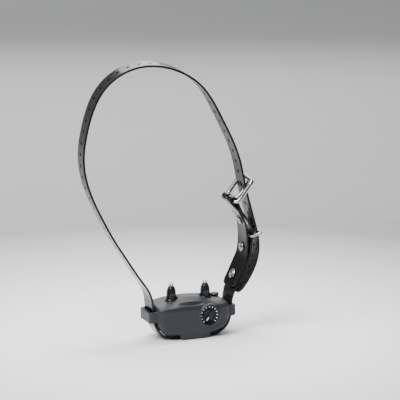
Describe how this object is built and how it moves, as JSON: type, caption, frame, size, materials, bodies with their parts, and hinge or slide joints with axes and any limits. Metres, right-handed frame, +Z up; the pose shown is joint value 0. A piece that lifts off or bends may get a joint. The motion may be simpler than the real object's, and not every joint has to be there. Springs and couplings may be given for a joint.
{
  "type": "anti-bark collar",
  "caption": "Anti-bark collar: coated strap buckled into a loop through a plastic receiver that has a turning level dial and throat contacts.",
  "frame": {"origin": "middle of the strap's flat run under the receiver, on the surface that the collar stands on", "axes": "+X along the receiver towards the dial and the buckle, +Y through the loop away from the dial's face, +Z up through the contacts"},
  "size_m": [0.1678, 0.0396, 0.252],
  "materials": {
    "coated_strap_black": "glossy polymer coating over webbing, black",
    "slate_plastic": "fine moulded texture, dark slate grey",
    "dial_black": "satin black",
    "pointer_white": "flat white marking",
    "contact_rubber_black": "smooth satin, black",
    "plug_rubber_black": "soft matt, black",
    "stud_steel": "polished stainless steel",
    "nickel_plate": "bright nickel plate"
  },
  "bodies": {
    "collar": {"strap": "coated_strap_black", "rivet_1": "nickel_plate", "rivet_2": "nickel_plate", "rivet_3": "nickel_plate", "buckle_frame": "nickel_plate", "buckle_prong": "nickel_plate", "keeper_ring": "nickel_plate", "housing": "slate_plastic", "contact_stud_left": "stud_steel", "contact_stud_right": "stud_steel", "contact_sleeve_left": "contact_rubber_black", "contact_sleeve_right": "contact_rubber_black", "port_plug": "plug_rubber_black"},
    "dial": {"dial_knob": "dial_black", "dial_pointer": "pointer_white"}
  },
  "joints": [
    {"name": "dial_turn", "type": "hinge", "parent": "collar", "child": "dial", "pos_m": [0.0139, -0.0175, 0.0207], "axis": [0, 1, 0], "range_deg": [0, 270]}
  ]
}
